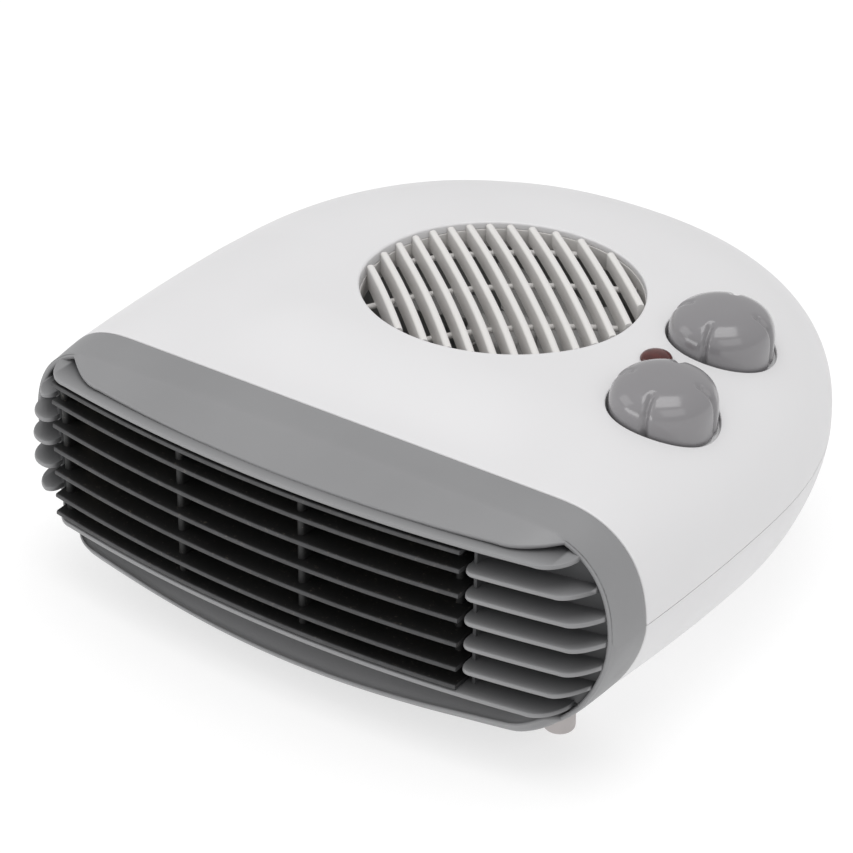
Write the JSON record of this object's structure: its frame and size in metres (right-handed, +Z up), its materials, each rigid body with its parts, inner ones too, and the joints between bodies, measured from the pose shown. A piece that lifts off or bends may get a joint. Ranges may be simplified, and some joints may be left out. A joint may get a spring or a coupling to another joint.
{
  "type": "fan convector heater",
  "caption": "Flat fan heater with a round-backed white case, grey slatted outlet bezel, round top intake grille, domed control knobs and an axial fan inside.",
  "frame": {"origin": "middle of the footprint (bounding box), on the floor plane under the feet", "axes": "+Z up; -Y is the direction the warm air blows, out of the front; +X is the side with the knobs, to the right as one looks at the back of the outlet from above with the front towards the viewer"},
  "size_m": [0.252, 0.2574, 0.1109],
  "materials": {
    "white_shell": "fine satin moulding, very light warm grey-white",
    "warm_white": "satin moulding, slightly warmer white with dust in the corners",
    "grey_bezel": "satin mid-grey moulding",
    "knob_grey": "polished mid-grey moulding",
    "black_grille": "satin black, dusty",
    "lens_red": "clear reddish-brown dome",
    "lamp_glass": "clear bulb",
    "steel": "zinc-plated, satin",
    "dark_plastic": "dark heat-resistant moulding",
    "fan_grey": "satin mid-grey moulding",
    "copper": "taped enamelled copper winding",
    "bronze": "sintered bush",
    "mica": "mica and ceramic insulation board",
    "nichrome": "heat-dulled resistance ribbon",
    "foot_white": "soft satin moulding",
    "stator_steel": "varnished lamination pack"
  },
  "bodies": {
    "casing": {"top_shell": "white_shell", "base_shell": "white_shell", "front_bezel": "grey_bezel", "outlet_grille": "black_grille", "intake_grille": "warm_white", "selector_switch_body": "dark_plastic", "thermostat_body": "mica", "control_bracket": "steel", "selector_nut": "steel", "thermostat_nut": "steel", "bracket_screw_front": "steel", "bracket_screw_rear": "steel", "indicator_lens": "lens_red", "neon_lamp": "lamp_glass", "motor_stator": "stator_steel", "motor_coil": "copper", "motor_bracket_upper": "steel", "motor_bracket_lower": "steel", "motor_bearing_upper": "bronze", "motor_bearing_lower": "bronze", "motor_clamp_screw_left": "steel", "motor_clamp_screw_right": "steel", "motor_mount_screw_left": "steel", "motor_mount_screw_right": "steel", "air_duct": "dark_plastic", "heater_frame": "mica", "heating_element_front": "nichrome", "heating_element_rear": "nichrome", "thermal_cutout": "dark_plastic", "thermal_fuse": "steel", "foot_front_left": "foot_white", "foot_front_right": "foot_white", "foot_rear_left": "foot_white", "foot_rear_right": "foot_white", "case_screw_front_left": "steel", "case_screw_front_right": "steel", "case_screw_rear_left": "steel", "case_screw_rear_right": "steel", "terminal_block": "warm_white", "cord_gland": "black_grille"},
    "fan_rotor": {"impeller": "fan_grey", "motor_shaft": "steel", "motor_rotor": "steel"},
    "selector": {"selector_knob": "knob_grey", "selector_spindle": "steel"},
    "thermostat": {"thermostat_knob": "knob_grey", "thermostat_spindle": "steel"}
  },
  "joints": [
    {"name": "fan_spin", "type": "hinge", "parent": "casing", "child": "fan_rotor", "pos_m": [0.001, 0.01115, 0.06], "axis": [0, 0, 1], "continuous": true},
    {"name": "selector_turn", "type": "hinge", "parent": "casing", "child": "selector", "pos_m": [0.0889, -0.02395, 0.09], "axis": [0, 0, -1], "range_deg": [0, 270]},
    {"name": "thermostat_turn", "type": "hinge", "parent": "casing", "child": "thermostat", "pos_m": [0.0816, 0.02805, 0.09], "axis": [0, 0, -1], "range_deg": [0, 280]}
  ]
}
